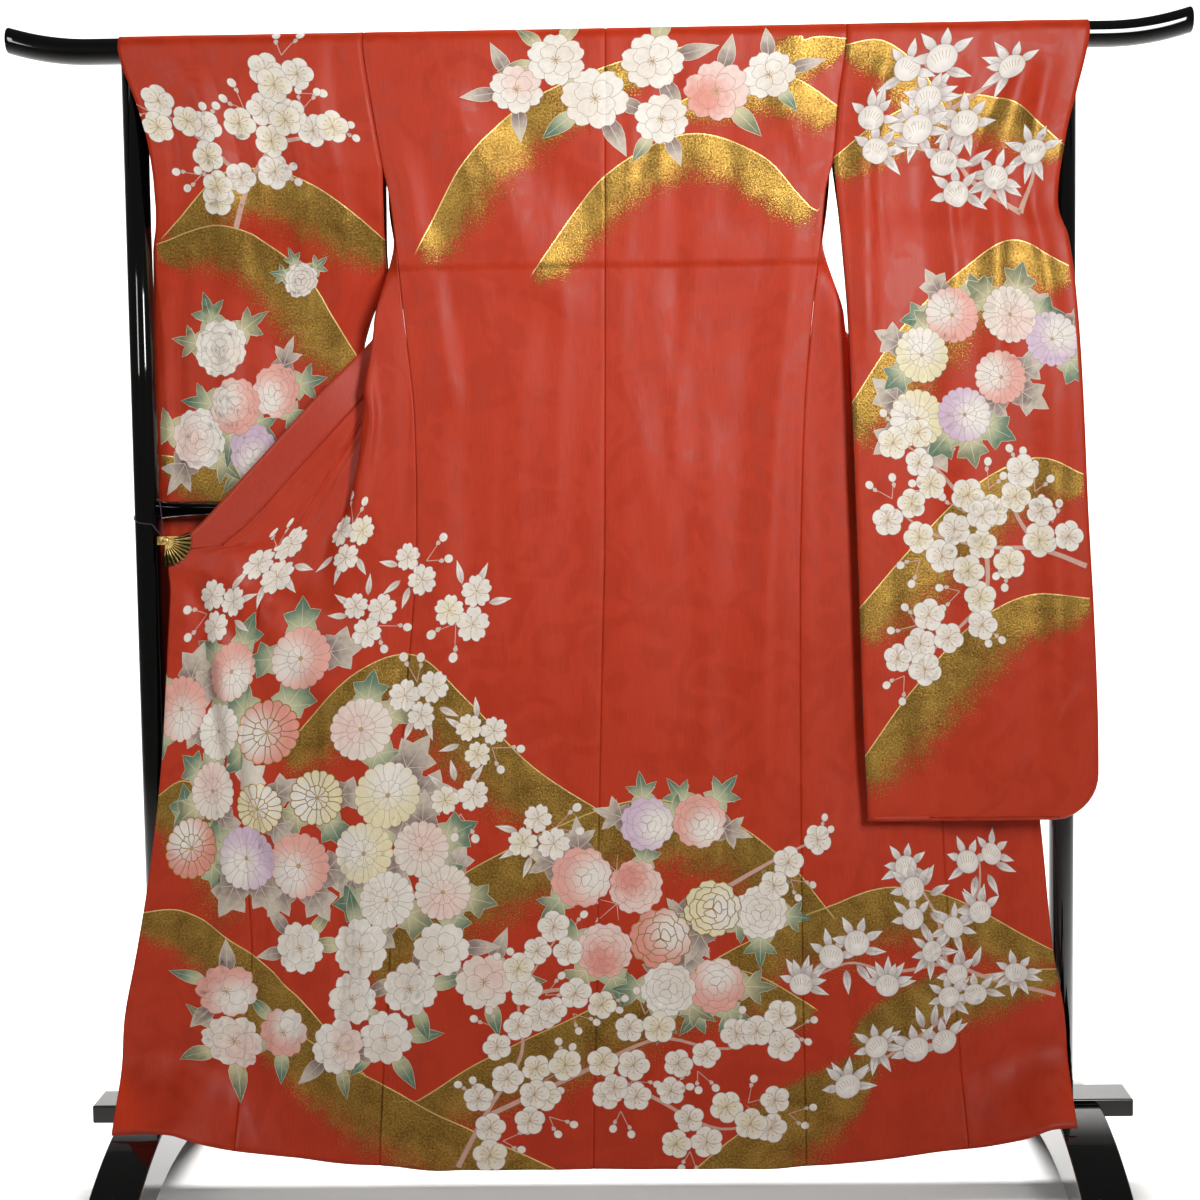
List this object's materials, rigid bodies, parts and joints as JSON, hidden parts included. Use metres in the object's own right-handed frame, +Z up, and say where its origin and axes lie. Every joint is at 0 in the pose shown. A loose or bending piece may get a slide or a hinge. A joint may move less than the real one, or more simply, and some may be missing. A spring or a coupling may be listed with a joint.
{
  "type": "furisode on a kimono rack",
  "caption": "Long-sleeved formal kimono hung by the shoulders over the top bar of a black lacquered standing rack, back to the viewer and skirts spread.",
  "frame": {"origin": "on the floor under the middle of the rack, halfway between the two feet", "axes": "+Z up; -Y the side that the garment's back faces; +X along the top bar to the viewer's right"},
  "size_m": [1.72, 0.77, 1.7223],
  "materials": {
    "lacquer": "high-gloss black lacquer",
    "silk": "satin silk with flowers and gold leaf",
    "brass": "satin brass",
    "cord": "matt thin cord"
  },
  "bodies": {
    "root": {"base_plank": "lacquer", "clip_cord": "cord", "collar": "silk", "fan_clip": "brass", "left_body": "silk", "left_foot": "lacquer", "left_okumi": "silk", "left_post": "lacquer", "left_sleeve": "silk", "mid_bar": "lacquer", "right_body": "silk", "right_foot": "lacquer", "right_okumi": "silk", "right_post": "lacquer", "right_sleeve": "silk", "top_bar": "lacquer"}
  },
  "joints": []
}
